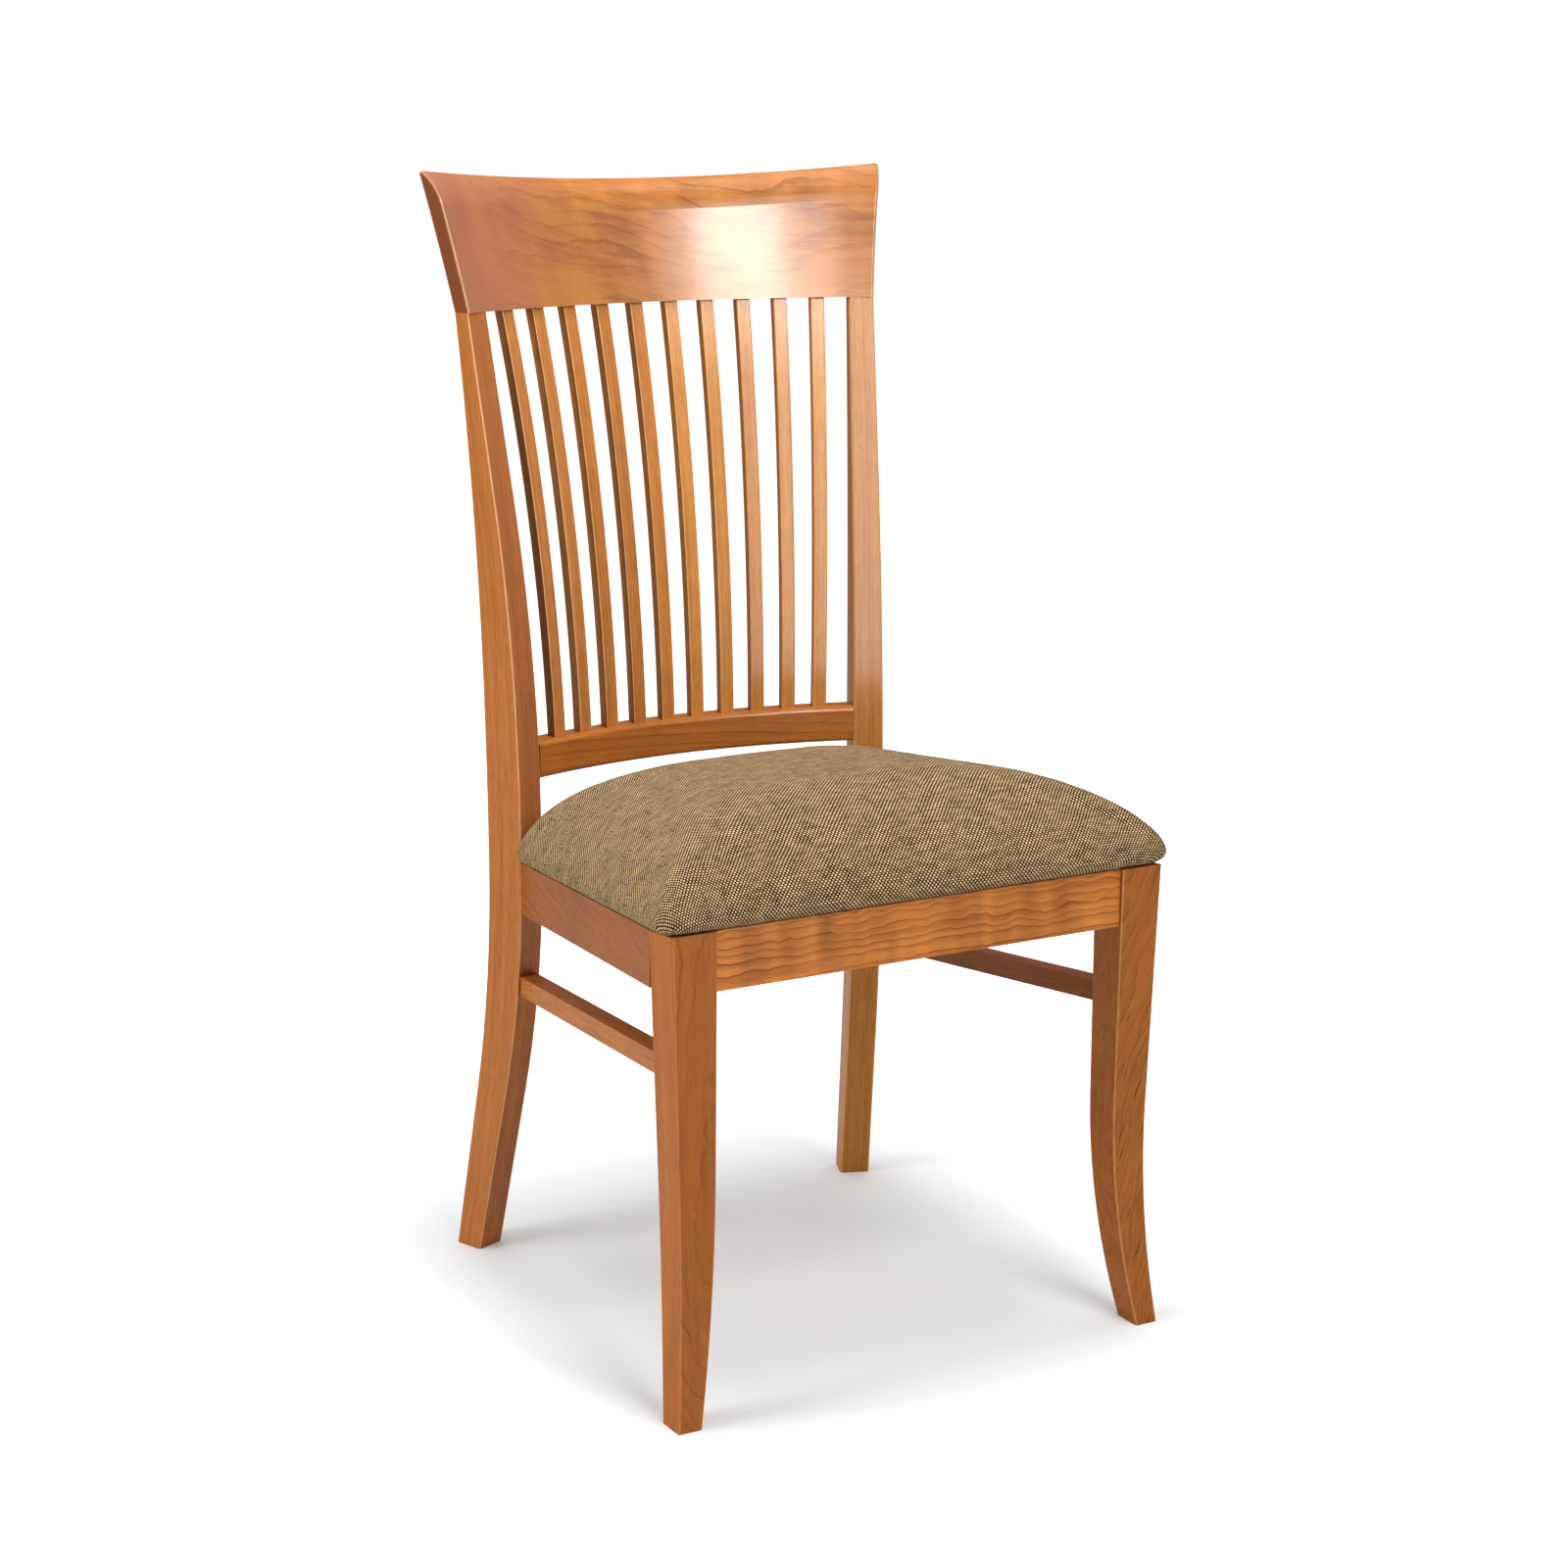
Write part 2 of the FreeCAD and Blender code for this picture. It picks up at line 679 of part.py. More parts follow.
def seat_pad():
    """Crowned pad: the sides swell above the rails, then draw in and roll over into the crown."""
    sections = [seat_outline(0.0, 0.0, pad_corner_radius, pad_clearance)]
    for step in range(1, pad_side_steps):
        part = step / pad_side_steps
        swell = pad_bulge * math.sin(part * math.pi / 2)
        sections.append(seat_outline(-swell, 0.0, pad_corner_radius + swell, pad_bulge_height * part))
    rise = pad_height - pad_bulge_height
    travel = pad_roll + pad_bulge
    for step in range(pad_crown_steps + 1):
        angle = step / pad_crown_steps * math.pi / 2
        inset = travel * (1 - math.cos(angle)) - pad_bulge
        height = pad_bulge_height + rise * math.sin(angle)
        corner = pad_corner_radius + pad_bulge + (inset + pad_bulge) * pad_corner_growth
        sections.append(seat_outline(inset, inset + pad_bulge, corner, height))
    pad = Part.makeLoft(sections, True, True)
    return pad.cut(seat_board(pad_clearance))


# Cut the joints and collect every piece.
pieces = {}
leg = front_leg()
leg = leg.cut(front_tenons(joint_clearance))
post = back_post().fuse(post_tenon()).removeSplitter()
post = post.cut(rail_tenon(joint_clearance)).cut(back_tenons(joint_clearance))
for rail in (apron_rail, stretcher_rail):
    space = rail.tenons(joint_clearance)
    leg = leg.cut(space)
    post = post.cut(space)

seat_holes = [seat_screw(front_screw_at, joint_clearance), seat_screw(rear_screw_at, joint_clearance)]
blocks = {"front": front_block(), "rear": rear_block()}
apron = apron_rail.solid().cut(above_seat())
stretcher = stretcher_rail.solid()
for name in blocks:
    for hole in seat_holes:
        blocks[name] = blocks[name].cut(hole)
board = on_seat(seat_board())
for hole in seat_holes:
    for side in (1, -1):
        board = board.cut(mirrored(hole, side))

for name, side in SIDES:
    pieces["front_leg_" + name] = mirrored(leg, side)
    pieces["back_post_" + name] = mirrored(post, side)
    pieces["side_apron_" + name] = mirrored(apron, side)
    pieces["side_stretcher_" + name] = mirrored(stretcher, side)
    for where in blocks:
        pieces["corner_block_" + where + "_" + name] = mirrored(blocks[where], side)
pieces["front_apron"] = front_apron()
pieces["back_apron"] = back_apron()
pieces["lower_back_rail"] = lower_rail()
pieces["crest_rail"] = crest_rail()
for index in range(slat_count):
    pieces["back_slat_%02d" % (index + 1)] = slat_stick(index)
pieces["seat_base"] = board
pieces["seat_pad"] = on_seat(seat_pad())
screws = [mirrored(seat_screw(at), side) for at in (front_screw_at, rear_screw_at) for side in (1, -1)]
pieces["seat_screws"] = Part.makeCompound(screws)

# The origin is on the floor, in the middle of the chair's overall depth.
front_end = pieces["front_leg_right"].optimalBoundingBox(True, False).YMin
rear_end = pieces["crest_rail"].optimalBoundingBox(True, False).YMax
for name in sorted(pieces):
    shape = pieces[name].copy()
    shape.translate(V(0, -(front_end + rear_end) / 2, 0))
    if not shape.isValid() or not shape.Solids:
        raise ValueError(name + " is not a valid solid")
    shape.exportStep("parts/" + name + ".step")
    print(name, len(shape.Solids), round(shape.Volume / 1000, 1))
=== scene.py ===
import math
from collections import namedtuple

import bpy
import numpy as np
from bpy.props import FloatProperty, FloatVectorProperty, IntProperty, PointerProperty
from bpy.types import Operator, Panel, PropertyGroup
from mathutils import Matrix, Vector
from mathutils.bvhtree import BVHTree


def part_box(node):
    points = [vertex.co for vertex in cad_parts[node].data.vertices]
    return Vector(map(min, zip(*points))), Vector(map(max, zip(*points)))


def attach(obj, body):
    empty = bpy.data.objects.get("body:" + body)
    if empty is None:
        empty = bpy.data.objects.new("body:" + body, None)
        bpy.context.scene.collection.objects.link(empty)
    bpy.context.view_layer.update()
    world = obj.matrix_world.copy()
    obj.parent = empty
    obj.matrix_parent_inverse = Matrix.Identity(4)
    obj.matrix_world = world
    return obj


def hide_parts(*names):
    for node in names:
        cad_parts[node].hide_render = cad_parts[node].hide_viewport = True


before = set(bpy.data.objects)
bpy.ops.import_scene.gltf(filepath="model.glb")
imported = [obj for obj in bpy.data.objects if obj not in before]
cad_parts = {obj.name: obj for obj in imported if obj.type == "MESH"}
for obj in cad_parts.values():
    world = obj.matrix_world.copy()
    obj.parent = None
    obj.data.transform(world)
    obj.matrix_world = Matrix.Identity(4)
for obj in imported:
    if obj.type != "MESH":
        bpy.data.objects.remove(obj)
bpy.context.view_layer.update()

bl_info = {
    "name": "Slat-back side chair",
    "version": (1, 0, 0),
    "blender": (4, 5, 0),
    "location": "View3D > Sidebar > Chair",
    "description": "Dresses the chair's solids in oiled cherry and a woven padded seat",
    "category": "Object",
}

SIDES = ("left", "right")
SLATS = sorted(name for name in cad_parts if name.startswith("back_slat"))
BACK_RADIUS = 0.515     # metres, of the bowed back
TINY = 1e-9             # keeps a length of zero from dividing


# Settings

class WoodSettings(PropertyGroup):
    """Colours and grain of the cherry, and the colour of the painted highlight on its edges."""
    light: FloatVectorProperty(
        name="Early wood", description="Colour between the growth lines", subtype="COLOR", size=3,
        min=0.0, max=1.0, default=(0.510, 0.165, 0.026))
    dark: FloatVectorProperty(
        name="Late wood", description="Colour of the growth lines", subtype="COLOR", size=3,
        min=0.0, max=1.0, default=(0.165, 0.038, 0.004))
    blush: FloatVectorProperty(
        name="Heartwood", description="Rosy colour of the heartwood", subtype="COLOR", size=3,
        min=0.0, max=1.0, default=(0.400, 0.132, 0.050))
    gum: FloatVectorProperty(
        name="Gum flecks", description="Colour of the short gum streaks", subtype="COLOR", size=3,
        min=0.0, max=1.0, default=(0.050, 0.012, 0.004))
    # Painted highlight: a pale colour for the rounded edges, standing in for the lamps' glint on the finish.
    edge_highlight: FloatVectorProperty(
        name="Painted edge highlight", description="Colour where the edges were rubbed", subtype="COLOR", size=3,
        min=0.0, max=1.0, default=(0.800, 0.440, 0.180))
    roughness: FloatProperty(
        name="Roughness", description="Roughness of the oiled surface", subtype="FACTOR",
        default=0.42, min=0.0, max=1.0)
    specular: FloatProperty(
        name="Specular", description="How far the bare wood mirrors the lamps", subtype="FACTOR",
        default=0.06, min=0.0, max=1.0)
    coat: FloatProperty(
        name="Finish", description="Weight of the rubbed clear finish", subtype="FACTOR",
        default=0.16, min=0.0, max=1.0)
    coat_roughness: FloatProperty(
        name="Finish roughness", description="Roughness of the clear finish", subtype="FACTOR",
        default=0.16, min=0.0, max=1.0)


class SeatSettings(PropertyGroup):
    """The padded seat and its cover."""
    pale: FloatVectorProperty(
        name="Pale yarn", description="Colour of the straw-coloured weft", subtype="COLOR", size=3,
        min=0.0, max=1.0, default=(0.76, 0.53, 0.29))
    dark: FloatVectorProperty(
        name="Dark yarn", description="Colour of the brown warp", subtype="COLOR", size=3,
        min=0.0, max=1.0, default=(0.020, 0.008, 0.002))
    warp: FloatProperty(
        name="Warp", description="Width of one yarn that runs from front to back", unit="LENGTH",
        default=0.00187, min=0.0005)
    weft: FloatProperty(
        name="Weft", description="Width of one yarn that runs from side to side", unit="LENGTH",
        default=0.0021, min=0.0005)
    slope: FloatProperty(
        name="Seat slope", description="How far the seat falls towards the back", subtype="ANGLE",
        default=math.radians(4.6))
    voxel: FloatProperty(
        name="Voxel", description="Mesh size of the pad before it is filled", unit="LENGTH", default=0.0055)
    pressure: FloatProperty(
        name="Pressure", description="Pressure of the filling on the cover", default=4.0)
    tacked: FloatProperty(
        name="Tacked edge", description="Height of the band round the underside that is held when filled",
        unit="LENGTH", default=0.012)
    ease: FloatProperty(
        name="Ease", description="Height above the tacked edge over which the pad starts smaller",
        unit="LENGTH", default=0.03)
    give: FloatProperty(
        name="Give", description="Furthest that the cover may move when filled", unit="LENGTH", default=0.005)
    frames: IntProperty(
        name="Frames", description="Steps of the simulation", default=20, min=2)
    clearance: FloatProperty(
        name="Clearance", description="Space between the pad and its board", unit="LENGTH", default=0.0004)


class StageSettings(PropertyGroup):
    """Camera, floor and lamps."""
    camera_place: FloatVectorProperty(
        name="Camera place", description="Where the camera stands", subtype="TRANSLATION", size=3,
        default=(-1.3621, -2.42622, 1.1256))
    camera_turn: FloatVectorProperty(
        name="Camera turn", description="Which way the camera looks", subtype="EULER", size=3,
        default=(math.radians(76.978), 0.0, math.radians(-29.523)))
    lens: FloatProperty(
        name="Lens", description="Focal length", unit="CAMERA", default=70.61)
    floor_size: FloatProperty(
        name="Floor", description="Width of the floor", unit="LENGTH", default=24.0)
    floor_colour: FloatVectorProperty(
        name="Floor colour", description="Colour of the floor", subtype="COLOR", size=3,
        min=0.0, max=1.0, default=(0.845, 0.880, 0.897))
    floor_glow: FloatProperty(
        name="Floor glow", description="What the camera sees of the floor's own light near the chair",
        default=0.12, min=0.0)
    sky: FloatProperty(
        name="Sky", description="Strength of the light from all round", default=0.24, min=0.0)


# Shader maths

class Wire:
    """An output socket. Arithmetic on it adds Math nodes to its tree."""

    def __init__(self, tree, socket=None):
        self.tree = tree
        self.socket = socket

    def node(self, kind, inputs=None, out=0, **settings):
        """Adds a node: its settings first, then the values or links of its sockets."""
        made = self.tree.nodes.new(kind)
        for key, value in settings.items():
            setattr(made, key, value)
        for key, value in (inputs or {}).items():
            if isinstance(value, Wire):
                self.tree.links.new(value.socket, made.inputs[key])
            else:
                made.inputs[key].default_value = value
        return Wire(self.tree, made.outputs[out])

    def maths(self, operation, *values):
        return self.node("ShaderNodeMath", dict(enumerate(values)), operation=operation)

    def __add__(self, other):
        return self.maths("ADD", self, other)

    __radd__ = __add__

    def __sub__(self, other):
        return self.maths("SUBTRACT", self, other)

    def __rsub__(self, other):
        return self.maths("SUBTRACT", other, self)

    def __mul__(self, other):
        return self.maths("MULTIPLY", self, other)

    __rmul__ = __mul__

    def __truediv__(self, other):
        return self.maths("DIVIDE", self, other)

    def __rtruediv__(self, other):
        return self.maths("DIVIDE", other, self)

    def step(self, low, high):
        """Smooth step from 0 at low to 1 at high."""
        return self.node("ShaderNodeMapRange", {0: self, 1: low, 2: high, 3: 0.0, 4: 1.0},
                         interpolation_type="SMOOTHSTEP")

    def between(self, low, high):
        """Spreads 0 to 1 over low to high."""
        return self.node("ShaderNodeMapRange", {0: self, 1: 0.0, 2: 1.0, 3: low, 4: high})

    def split(self):
        parts = self.node("ShaderNodeSeparateXYZ", {0: self}).socket.node.outputs
        return [Wire(self.tree, part) for part in parts]

    def join(self, x, y, z):
        return self.node("ShaderNodeCombineXYZ", {0: x, 1: y, 2: z})

    def grey(self):
        """The value as a colour."""
        return self.join(self, self, self)

    def clamp(self):
        return self.node("ShaderNodeClamp", {0: self})

    def bump(self, strength, distance):
        """The value as the height of a relief, distance deep."""
        return self.node("ShaderNodeBump", {"Strength": strength, "Distance": distance, "Height": self})

    def noise(self, vector, scale=1.0, detail=2.0, rough=0.5):
        return self.node("ShaderNodeTexNoise", {"Vector": vector, "Scale": scale, "Detail": detail,
                                                "Roughness": rough})

    def mix(self, factor, first, second, blend="MIX"):
        """Colours first and second mixed by factor."""
        def opaque(colour):
            return colour if isinstance(colour, Wire) else (*colour[:3], 1.0)
        return self.node("ShaderNodeMix", {0: factor, 6: opaque(first), 7: opaque(second)}, out=2,
                         data_type="RGBA", blend_type=blend)


def new_material(name):
    """A material with a Principled shader: (material, wire to build on, shader node)."""
    material = bpy.data.materials.new(name)
    material.use_nodes = True
    tree = material.node_tree
    shader = tree.nodes["Principled BSDF"]
    return material, Wire(tree), shader


def feed(shader, socket, wire):
    """Links a wire to one of the shader's inputs."""
    shader.id_data.links.new(wire.socket, shader.inputs[socket])


# Wood

# A feature of the grain: how often it repeats per metre along the grain, over the face and into the board,
# what share of the board's seed sets it apart, and how fine and rough it is.
Feature = namedtuple("Feature", "along face into seed detail rough", defaults=(0.5,))

DRIFT = Feature(6.5, 14.0, 14.0, 1.0, 1.0)          # slow stray of the growth lines
RIPPLE = Feature(38.0, 24.0, 24.0, 1.0, 2.0)        # quick stray of the growth lines
FADE = Feature(11.0, 20.0, 20.0, 2.0, 1.0)          # where the lines grow faint
FIBRE = Feature(60.0, 800.0, 800.0, 0.0, 3.0, 0.65)
STREAK = Feature(4.0, 150.0, 150.0, 1.0, 2.0)
CURL = Feature(42.0, 9.0, 8.0, 3.0, 1.0)
CLOUD = Feature(15.0, 24.0, 24.0, 5.0, 2.0)
GUM_STREAK = Feature(42.0, 330.0, 330.0, 7.0, 1.0)
GUM_PATCH = Feature(9.0, 24.0, 24.0, 11.0, 0.0)     # where gum gathers
SAWN_FIBRE = Feature(20.0, 420.0, 420.0, 0.0, 3.0, 0.6)
SAWN_CLOUD = Feature(6.0, 40.0, 40.0, 0.0, 2.0)

TREE_STEP = 1.7         # metres of trunk between boards whose seeds differ by one
SLOW_STRAY = 0.020      # metres that growth lines stray slowly
QUICK_STRAY = 0.0080    # metres that they stray quickly
STRAY_INTO = 0.6        # share of that which goes into the board
PACE_YEARS = 3.1        # years over which growth quickens and slows
PACE_ALONG = 0.8        # how often that changes along the trunk, per metre
PACE_CHANGE = 3.2       # years gained and lost by that
FIBRE_SHADE = 0.95      # how far the fibre darkens the wood
STREAK_SHADE = 0.7      # how far the streaks do
SEASON_SHADE = 0.25     # how far each year's wood darkens towards its line
BASE_SHADE = 0.14       # shade of plain wood between the lines


class Board:
    """How one piece was cut from the tree and how it took the oil, with light, shade and sheen painted on
    some pieces.

    grain: which way the fibres run. heart: where the middle of the tree lay, across and behind the face.
    tone: how light the piece is, and tint: how far its red, green and blue differ from the other pieces'.
    tilt and arch: slope and curve of the growth lines along the face. turn: how far the piece's sides are
    turned in plan. sides: how far the sides' red, green and blue differ from the front's; this paints shade
    on the sides of the slats and of the right stretcher, and sheen on the left post's front. rubbed: strength
    of the painted highlight on the rounded edges. ring: width of a year's growth. lines: strength of the
    growth lines.
    wobble and wave: how far they stray slowly and quickly. figure: strength of the curl. clouds and flecks:
    strength of the blotches and of the gum streaks. seed: which stretch of the tree. run: the curves that the
    middle of an upright piece follows, across and back, for grain that follows them too. heartwood: where
    along the grain the rosy tone starts and where it is full. bow: centre and radius of a bowed piece in
    plan."""

    def __init__(self, grain, heart, tone=1.0, tint=(1.0, 1.0, 1.0), ring=0.0042, lines=1.0, wobble=1.0,
                 wave=0.5, tilt=0.0, arch=0.0, figure=0.3, clouds=0.45, flecks=0.3, seed=0.0, turn=0.0,
                 sides=(1.0, 1.0, 1.0), rubbed_and_highlit=0.9, run=None, heartwood=None, bow=None):
        self.grain = grain
        self.heart = heart
        self.tone = tone
        self.tint = tint
        self.ring = ring
        self.lines = lines
        self.wobble = wobble
        self.wave = wave
        self.tilt = tilt
        self.arch = arch
        self.figure = figure
        self.clouds = clouds
        self.flecks = flecks
        self.seed = seed
        self.turn = turn
        self.sides = sides
        self.rubbed_and_highlit = rubbed_and_highlit
        self.run = run
        self.heartwood = heartwood
        self.bow = bow


def grain_axes(start, board):
    """Distances along the grain, up or across the face, and into the board."""
    x, y, z = start.node("ShaderNodeTexCoord", out="Object").split()
    if board.run:
        (a, b, c), (d, e, f) = board.run
        return z, x - (z * z * a + z * b + c), y - (z * z * d + z * e + f)
    if board.grain == "upright":
        return z, x, y
    if board.grain == "wide":
        return x, z, y
    if board.grain == "deep":
        return y, z, x
    centre, radius = board.bow
    back = y - centre
    along = start.maths("ARCTAN2", x, back) * radius
    into = start.maths("SQRT", x * x + back * back) - radius
    return along, z, into


def side_facing(start, board):
    """How squarely the surface faces the piece's own sides: 1 on a side, 0 on the front and back."""
    x, y = start.node("ShaderNodeTexCoord", out="Normal").split()[:2]
    if board.bow:
        at_x, at_y = start.node("ShaderNodeTexCoord", out="Object").split()[:2]
        bow = start.maths("ARCTAN2", at_x, at_y - board.bow[0])
        across = x * start.maths("COSINE", bow) - y * start.maths("SINE", bow)
    else:
        across = x * math.cos(board.turn) + y * math.sin(board.turn)
    return start.maths("ABSOLUTE", across)


def grain_noise(start, axes, seed, feature):
    """Noise for a feature of the grain, laid out along the board's own axes."""
    along, face, into = axes
    place = start.join(along * feature.along, face * feature.face, into * feature.into + seed * feature.seed)
    return start.noise(place, detail=feature.detail, rough=feature.rough)


def growth_lines(start, board, axes):
    """The thin dark line that ends each year, and how far each year's wood has darkened towards it."""
    along, face, into = axes
    drift = grain_noise(start, axes, board.seed, DRIFT) - 0.5
    ripple = grain_noise(start, axes, board.seed, RIPPLE) - 0.5
    fade = grain_noise(start, axes, board.seed, FADE)
    sway = drift * (SLOW_STRAY * board.wobble) + ripple * (QUICK_STRAY * board.wave)
    across = face - board.heart[0] + sway
    depth = into - board.heart[1] + sway * STRAY_INTO
    radius = start.maths("SQRT", across * across + depth * depth)
    spell = start.join(radius / (PACE_YEARS * board.ring), board.seed, along * PACE_ALONG)
    pace = start.noise(spell, detail=1.0)
    year = radius / board.ring + (pace - 0.5) * PACE_CHANGE
    part = start.maths("FRACT", year)
    strength = start.node("ShaderNodeTexWhiteNoise", {"W": start.maths("FLOOR", year) + board.seed},
                          noise_dimensions="1D")
    line = part.step(0.84, 0.96) * (1.0 - part.step(0.96, 1.0))
    late = line * strength.between(0.3, 1.15) * fade.step(0.2, 0.6)
    season = part.step(0.1, 0.96) * (1.0 - part.step(0.955, 1.0))
    return late, season


def gum_flecks(start, board, axes):
    """Short dark gum streaks, gathered in patches."""
    rarity = 0.72 - 0.05 * board.flecks
    streak = grain_noise(start, axes, board.seed, GUM_STREAK).step(rarity, rarity + 0.08)
    patch = grain_noise(start, axes, board.seed, GUM_PATCH).step(0.60 - 0.12 * board.flecks, 0.68)
    return streak * patch * min(board.flecks * 2.0, 0.9)


def cherry(name, board):
    """Oiled cherry: growth lines, fine fibre, curl, clouds, gum flecks and darker end grain, with a painted
    highlight on the rounded edges and painted shade and sheen on some faces.
    """
    wood = bpy.context.scene.chair_wood
    material, start, shader = new_material(name)
    along, face, into = grain_axes(start, board)
    face = face + along * board.tilt + along * along * board.arch
    axes = (along + board.seed * TREE_STEP, face, into)
    late, season = growth_lines(start, board, axes)
    fibre = grain_noise(start, axes, board.seed, FIBRE)
    streak = grain_noise(start, axes, board.seed, STREAK)
    curl = grain_noise(start, axes, board.seed, CURL)
    cloud = grain_noise(start, axes, board.seed, CLOUD)
    if board.heartwood:
        begin, full = board.heartwood
        rosy = ((along - begin) / (full - begin) + (cloud - 0.5) * 1.4).clamp()
        late = late * (1.0 - rosy * 0.75)
    shade = (late + season * SEASON_SHADE) * board.lines + (cloud - 0.5) * board.clouds
    shade = shade + (fibre - 0.5) * FIBRE_SHADE + (streak - 0.5) * STREAK_SHADE
    shade = (shade + BASE_SHADE).clamp()
    colour = start.mix(shade, wood.light, wood.dark)
    if board.heartwood:
        colour = start.mix(rosy * (1.0 - shade * 0.5), colour, wood.blush)
    facing = side_facing(start, board)
    beside = facing.step(0.75, 0.95)
    light = (1.0 + (curl - 0.5) * board.figure + (cloud - 0.5) * 0.3) * board.tone
    # Side faces take sides on top of tone and tint: painted shade on the sides of the slats and of the right
    # stretcher, painted sheen on the front of the left post.
    shares = [light * beside.between(share, share * side) for share, side in zip(board.tint, board.sides)]
    colour = start.mix(1.0, colour, start.join(*shares), blend="MULTIPLY")
    fleck = gum_flecks(start, board, axes)
    colour = start.mix(fleck, colour, wood.gum)
    if board.bow:
        end_grain = facing.step(0.90, 0.97) * 0.8
        colour = start.mix(end_grain, colour, wood.dark)
    # Painted highlight: the rounded edges of upright and bowed pieces are mixed towards a pale colour where
    # the lamps glint.
    if board.grain in ("upright", "bowed"):
        edge_highlight_mask = facing.step(0.12, 0.40) * (1.0 - facing.step(0.80, 0.96)) * board.rubbed_and_highlit
        colour = start.mix(edge_highlight_mask * fibre.between(0.4, 1.0), colour, wood.edge_highlight)
    relief = fibre * 0.6 - late * 0.25 - fleck * 0.6
    feed(shader, "Base Color", colour)
    feed(shader, "Roughness", wood.roughness + (fibre - 0.5) * 0.22 + late * 0.05)
    feed(shader, "Normal", relief.bump(0.10, 0.0006))
    shader.inputs["Specular IOR Level"].default_value = wood.specular
    shader.inputs["Coat Weight"].default_value = wood.coat
    shader.inputs["Coat Roughness"].default_value = wood.coat_roughness
    return material


def plain_wood(name, colour, grain, layers=0.0):
    """Unfinished wood under the seat, with plywood's layers where layers gives their thickness."""
    material, start, shader = new_material(name)
    axes = grain_axes(start, Board(grain, (0.0, 0.0)))
    fibre = grain_noise(start, axes, 0.0, SAWN_FIBRE)
    cloud = grain_noise(start, axes, 0.0, SAWN_CLOUD)
    light = 1.0 + (fibre - 0.5) * 0.35 + (cloud - 0.5) * 0.3
    if layers > 0.0:
        layer = start.maths("FRACT", axes[1] / (2.0 * layers)).step(0.42, 0.55)
        light = light * layer.between(0.82, 1.06)
    feed(shader, "Base Color", start.mix(1.0, colour, light.grey(), blend="MULTIPLY"))
    feed(shader, "Roughness", 0.62 + (fibre - 0.5) * 0.2)
    feed(shader, "Normal", fibre.bump(0.15, 0.0005))
    return material


def screw_steel(name):
    """Zinc-plated steel, faintly mottled."""
    material, start, shader = new_material(name)
    place = start.node("ShaderNodeTexCoord", out="Object")
    mottle = start.noise(place, scale=900.0, detail=3.0)
    feed(shader, "Base Color", start.mix(mottle, (0.44, 0.42, 0.38), (0.66, 0.65, 0.60)))
    feed(shader, "Roughness", 0.28 + mottle * 0.2)
    shader.inputs["Metallic"].default_value = 1.0
    return material


def middle_run(node):
    """The curves, across and back, that the middle of an upright piece follows as it rises."""
    x, y, z = points_of(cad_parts[node]).T
    return [[float(share) for share in np.polyfit(z, across, 2)] for across in (x, y)]


def dress(node, material):
    """Gives a solid of the frame its material."""
    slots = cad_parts[node].data.materials
    slots.clear()
    slots.append(material)


class CHAIR_OT_front_legs(Operator):
    """Finish the two front legs"""
    bl_idname = "chair.front_legs"
    bl_label = "Front legs"

    def execute(self, context):
        dress("front_leg_left", cherry("Cherry front leg left", Board(
            "upright", (-0.205, -0.13), tone=0.82, tint=(1.0, 0.88, 0.55), ring=0.0031, lines=0.45,
            wobble=0.3, figure=0.10, clouds=0.3, flecks=0.1, seed=1.3, sides=(1.12, 1.12, 1.12), rubbed_and_highlit=0.3)))
        dress("front_leg_right", cherry("Cherry front leg right", Board(
            "upright", (0.05, -0.42), tone=0.84, tint=(1.0, 0.92, 0.7), ring=0.0034, lines=0.7, wobble=1.5,
            wave=0.6, tilt=-0.34, figure=0.25, flecks=1.5, seed=4.1, rubbed_and_highlit=0.4)))
        return {"FINISHED"}


class CHAIR_OT_back_posts(Operator):
    """Finish the two back posts"""
    bl_idname = "chair.back_posts"
    bl_label = "Back posts"

    turn: FloatProperty(
        name="Turn", description="How far the posts are turned in", subtype="ANGLE",
        default=math.radians(21.0))

    def execute(self, context):
        # Painted sheen: the blue in the left post's tint, stronger on its front than on its sides, stands in
        # for the sheen on that face.
        dress("back_post_left", cherry("Cherry back post left", Board(
            "upright", (-0.11, -0.12), tone=0.97, tint=(1.0, 1.02, 1.9), ring=0.0036, lines=0.3, wobble=0.4,
            figure=0.12, clouds=0.25, flecks=0.35, seed=7.2, turn=self.turn, sides=(1.05, 1.06, 0.85),
            run=middle_run("back_post_left"))))
        # The right post's pale, blue-leaning tint is partly the wood's colour and partly painted sheen.
        dress("back_post_right", cherry("Cherry back post right", Board(
            "upright", (0.09, -0.10), tone=1.12, tint=(1.0, 1.18, 1.4), ring=0.0034, lines=0.35, wobble=0.4,
            figure=0.12, clouds=0.25, flecks=0.25, seed=9.4, turn=-self.turn,
            run=middle_run("back_post_right"))))
        return {"FINISHED"}


